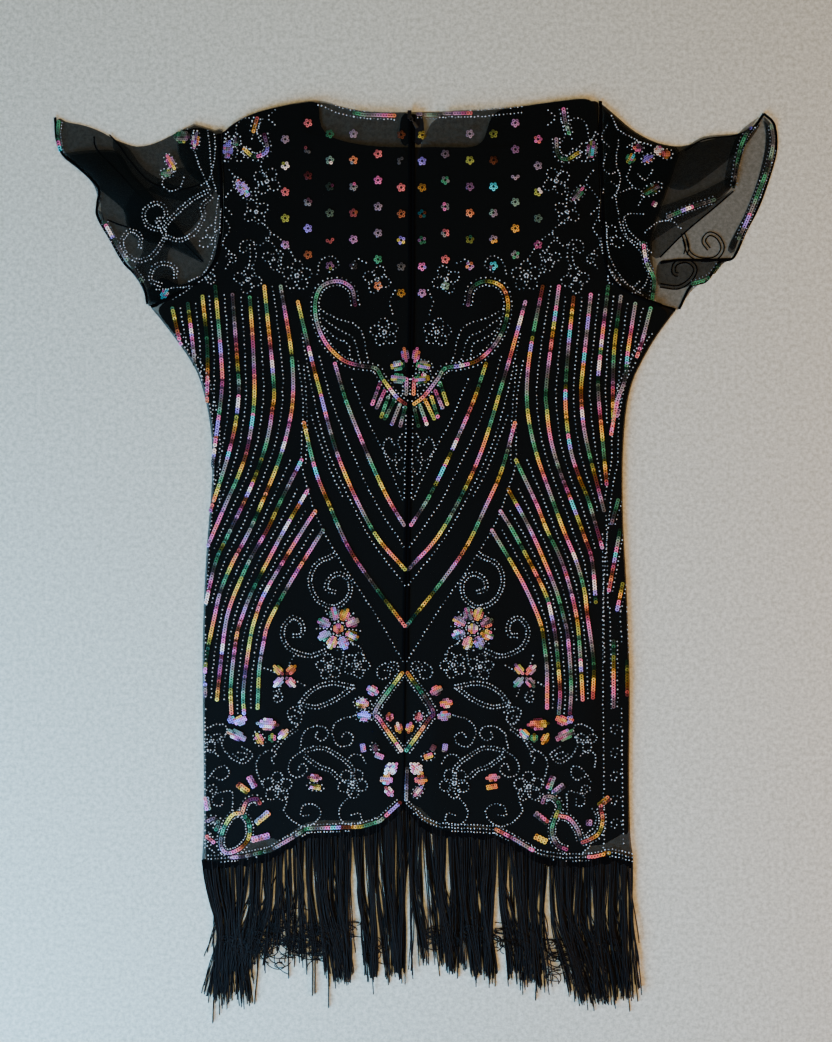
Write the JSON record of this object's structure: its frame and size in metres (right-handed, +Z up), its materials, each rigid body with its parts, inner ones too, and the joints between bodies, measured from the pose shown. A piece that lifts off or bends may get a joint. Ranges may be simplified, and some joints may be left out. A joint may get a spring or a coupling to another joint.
{
  "type": "flapper dress",
  "caption": "Sheer beaded flapper dress with flutter sleeves, black lining, scalloped hem and long fringe, laid flat with its zipped back upwards.",
  "frame": {"origin": "The middle of the dress's box on the surface it lies on.", "axes": "+Z up from the surface, +Y from the hem to the neck, +X to the right as seen from above."},
  "size_m": [0.7956, 0.999, 0.0092],
  "materials": {
    "net": "sheer black nylon net, embroidered with sequins and seed beads",
    "lining": "opaque black knit lining, matte",
    "sequin_trim": "overlapped iridescent sequins between two rows of silver-grey seed beads",
    "zip_tape": "woven black zip tape",
    "zip_metal": "black lacquered zip slider and pull tab, worn bright at the end",
    "fringe": "black rayon fringe threads with a soft lustre"
  },
  "bodies": {
    "dress": {"back_net_left": "net", "back_net_right": "net", "front_net": "net", "sleeve_left": "net", "sleeve_right": "net", "back_lining_left": "lining", "back_lining_right": "lining", "front_lining": "lining", "neck_trim_left": "sequin_trim", "neck_trim_right": "sequin_trim", "hem_trim_left": "sequin_trim", "hem_trim_right": "sequin_trim", "hem_trim_front": "sequin_trim", "sleeve_trim_left": "sequin_trim", "sleeve_trim_right": "sequin_trim", "sleeve_trim_right_under": "sequin_trim", "zip_tape_left": "zip_tape", "zip_tape_right": "zip_tape", "zip_slider": "zip_metal", "fringe_front": "fringe", "fringe_back": "fringe"},
    "pull": {"zip_pull": "zip_metal"}
  },
  "joints": [
    {"name": "pull_hinge", "type": "hinge", "parent": "dress", "child": "pull", "pos_m": [-0.0073, 0.47842, 0.00785], "axis": [-0.809, -0.5878, 0], "range_deg": [0, 160]}
  ]
}
